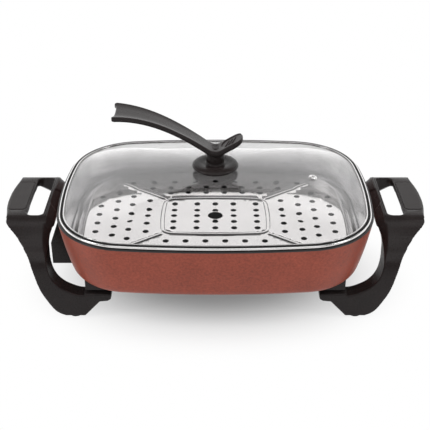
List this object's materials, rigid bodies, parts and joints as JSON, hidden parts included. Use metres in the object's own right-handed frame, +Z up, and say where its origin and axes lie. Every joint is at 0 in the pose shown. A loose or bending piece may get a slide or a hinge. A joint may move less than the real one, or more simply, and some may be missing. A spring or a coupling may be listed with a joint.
{
  "type": "electric hot pot",
  "caption": "Electric hot pot: bowed rectangular pan on two leg-and-handle frames, steam rack inside, lift-off glass lid with a long stand arm.",
  "frame": {"origin": "on the table under the pan's centre", "axes": "+Z up, +X along the pan's length towards the vent's side of the lid, the front at -Y and the inlet at -X"},
  "size_m": [0.542, 0.3058, 0.2451],
  "materials": {
    "pan_metal": "cast aluminium, speckled copper-red coat outside, grey satin inside, dark lip",
    "plain_steel": "plain",
    "element_sheath": "dull, heat-darkened",
    "terminal_brass": "nickel plated",
    "white_ceramic": "unglazed ceramic",
    "brown_plate": "moulded insulating board",
    "black_plastic": "satin heat-proof moulding",
    "grip_plastic": "fine matt",
    "black_rubber": "matt",
    "bright_steel": "bright stainless",
    "lid_glass": "clear tempered"
  },
  "bodies": {
    "base": {"pan": "pan_metal", "pan_bushes": "plain_steel", "heating_element": "element_sheath", "element_clips": "plain_steel", "terminal_pins": "terminal_brass", "terminal_bushes": "white_ceramic", "probe_sleeve": "plain_steel", "terminal_plate": "brown_plate", "inlet_hood": "black_plastic", "inlet_screws": "plain_steel", "left_frame": "black_plastic", "right_frame": "black_plastic", "left_grip_panel": "grip_plastic", "right_grip_panel": "grip_plastic", "leg_posts": "black_plastic", "leg_screws": "plain_steel", "foot_pads": "black_rubber"},
    "rack": {"steam_rack": "bright_steel"},
    "lid": {"lid_glass": "lid_glass", "lid_rim": "bright_steel", "vent_eyelet": "bright_steel", "upper_seal": "black_rubber", "lower_seal": "black_rubber", "knob_washer": "plain_steel", "knob_bolt": "plain_steel", "knob_foot": "black_plastic", "stand_arm": "black_plastic", "arm_cap": "grip_plastic"}
  },
  "joints": [
    {"name": "lid_lift", "type": "slide", "parent": "base", "child": "lid", "axis": [0, 0, 1], "range_m": [0, 0.2]},
    {"name": "rack_lift", "type": "slide", "parent": "base", "child": "rack", "axis": [0, 0, 1], "range_m": [0, 0.04]}
  ]
}
